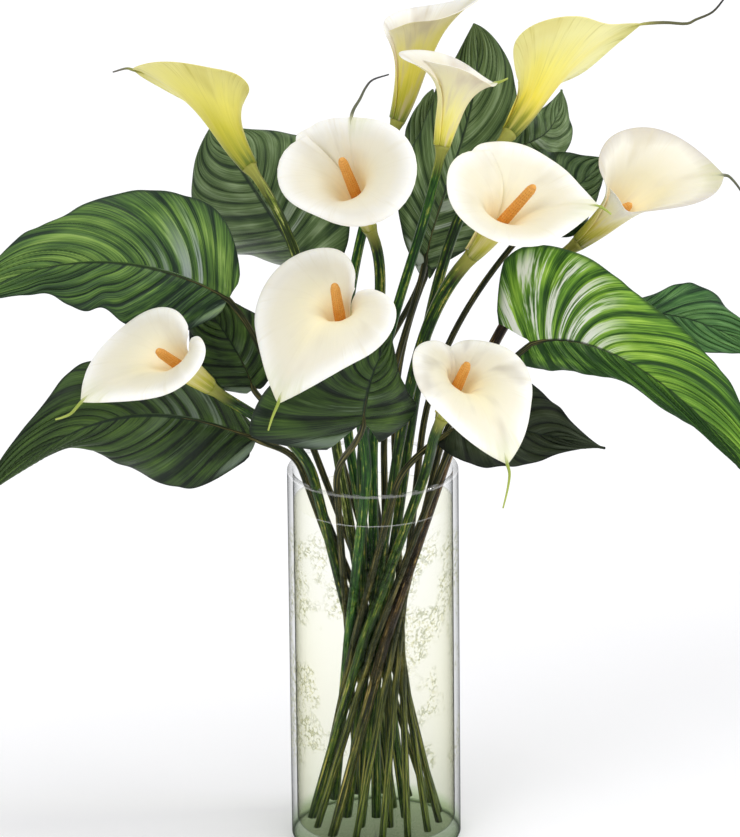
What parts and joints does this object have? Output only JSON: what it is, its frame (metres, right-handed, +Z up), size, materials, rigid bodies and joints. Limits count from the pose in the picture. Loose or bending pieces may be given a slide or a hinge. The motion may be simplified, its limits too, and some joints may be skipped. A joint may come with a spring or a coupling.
{
  "type": "calla lily arrangement in vase",
  "caption": "Cut calla lilies, cream with orange spikes, and their large ribbed leaves, standing in a clear glass cylinder vase of water.",
  "frame": {"origin": "centre of the vase's foot, on the surface that it stands on", "axes": "+Z up along the vase's axis, -Y towards the front of the arrangement, +X to its right"},
  "size_m": [0.572, 0.2704, 0.608],
  "materials": {
    "glass": "clear, polished, with faint grey-green crackle",
    "water": "clear, pale yellow above and pale green below",
    "cream": "waxy petal, soft sheen",
    "yellow": "waxy petal, yellow with olive at the base",
    "spadix": "fine grain, matt",
    "stem": "smooth, soft sheen",
    "leaf": "glossy leaf with pale ribs"
  },
  "bodies": {
    "root": {"glass_vase": "glass", "water": "water", "upper_left_spathe": "yellow", "upper_left_spadix": "spadix", "upper_left_stem": "stem", "centre_left_spathe": "cream", "centre_left_spadix": "spadix", "centre_left_stem": "stem", "top_spathe": "cream", "top_spadix": "spadix", "top_stem": "stem", "small_top_spathe": "cream", "small_top_spadix": "spadix", "small_top_stem": "stem", "upper_right_spathe": "yellow", "upper_right_spadix": "spadix", "upper_right_stem": "stem", "centre_right_spathe": "cream", "centre_right_spadix": "spadix", "centre_right_stem": "stem", "right_spathe": "cream", "right_spadix": "spadix", "right_stem": "stem", "front_spathe": "cream", "front_spadix": "spadix", "front_stem": "stem", "left_spathe": "cream", "left_spadix": "spadix", "left_stem": "stem", "lower_right_spathe": "cream", "lower_right_spadix": "spadix", "lower_right_stem": "stem", "leaf_upper_left": "leaf", "leaf_left": "leaf", "leaf_small_left": "leaf", "leaf_lower_left": "leaf", "leaf_front": "leaf", "leaf_dark_right": "leaf", "leaf_right": "leaf", "leaf_far_right": "leaf", "leaf_top": "leaf", "leaf_top_right": "leaf", "leaf_top_back": "leaf", "leaf_behind_right": "leaf"}
  },
  "joints": []
}
